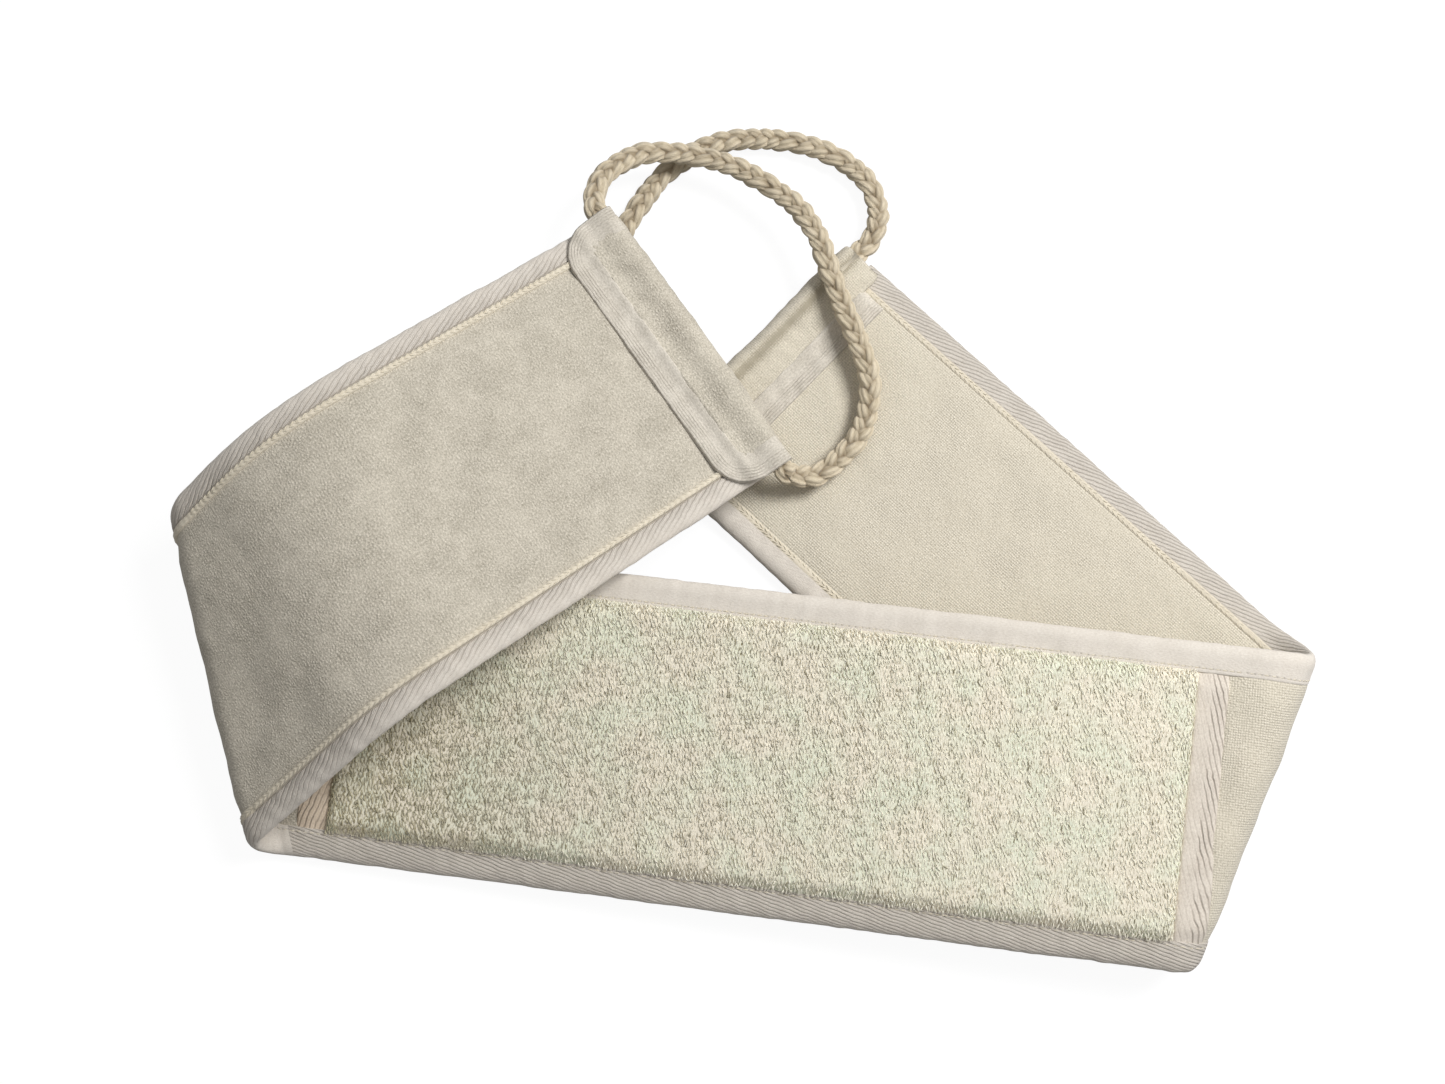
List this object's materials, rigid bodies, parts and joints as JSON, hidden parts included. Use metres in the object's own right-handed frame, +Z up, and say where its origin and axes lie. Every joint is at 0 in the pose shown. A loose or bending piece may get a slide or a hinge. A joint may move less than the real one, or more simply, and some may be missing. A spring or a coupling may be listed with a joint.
{
  "type": "loofah back scrubber",
  "caption": "Long padded cotton strap with a loofah pad on one face, taped edges and a braided rope loop at each hemmed end, folded and laid flat.",
  "frame": {"origin": "on the ground under the middle of the folded strap's outline, rope loops left out", "axes": "+X along the loofah panel towards the fold onto the lower arm, +Y across the strap towards the hemmed ends, +Z up"},
  "size_m": [0.3623, 0.2607, 0.048],
  "materials": {
    "cotton_cloth": "matt terry weave, undyed cotton",
    "cotton_twill_tape": "matt herringbone twill",
    "foam": "soft open-cell foam",
    "loofah": "rough plant fibre",
    "braided_cotton": "matt braid"
  },
  "bodies": {
    "right_arm": {"right_arm_back_cloth": "cotton_cloth", "right_arm_front_cloth": "cotton_cloth", "right_arm_foam_core": "foam", "right_arm_upper_binding": "cotton_twill_tape", "right_arm_lower_binding": "cotton_twill_tape", "right_arm_hem": "cotton_cloth", "right_arm_hem_tape": "cotton_twill_tape"},
    "panel": {"panel_back_cloth": "cotton_cloth", "panel_foam_core": "foam", "loofah_pad": "loofah", "loofah_left_end_tape": "cotton_twill_tape", "loofah_right_end_tape": "cotton_twill_tape", "panel_front_cloth_left": "cotton_cloth", "panel_front_cloth_right": "cotton_cloth", "panel_upper_binding": "cotton_twill_tape", "panel_lower_binding": "cotton_twill_tape"},
    "left_arm": {"left_arm_back_cloth": "cotton_cloth", "left_arm_front_cloth": "cotton_cloth", "left_arm_foam_core": "foam", "left_arm_upper_binding": "cotton_twill_tape", "left_arm_lower_binding": "cotton_twill_tape", "left_arm_hem": "cotton_cloth", "left_arm_hem_tape": "cotton_twill_tape"},
    "left_loop": {"left_rope": "braided_cotton"},
    "right_loop": {"right_rope": "braided_cotton"}
  },
  "joints": [
    {"name": "right_fold", "type": "hinge", "parent": "right_arm", "child": "panel", "pos_m": [0.16707, -0.05956, 0.01379], "axis": [0.2779, 0.959, 0.0563], "range_deg": [0, 170]},
    {"name": "left_fold", "type": "hinge", "parent": "panel", "child": "left_arm", "pos_m": [-0.16116, -0.06207, 0.01292], "axis": [0.3669, -0.925, -0.0988], "range_deg": [0, 155]},
    {"name": "left_rope_swing", "type": "hinge", "parent": "left_arm", "child": "left_loop", "pos_m": [-0.02723, 0.06622, 0.01944], "axis": [0.6778, -0.7329, -0.0592], "range_deg": [0, 150]},
    {"name": "right_rope_swing", "type": "hinge", "parent": "right_arm", "child": "right_loop", "pos_m": [-0.00504, 0.06864, 0.0051], "axis": [-0.592, -0.8059, 0], "range_deg": [0, 120]}
  ]
}
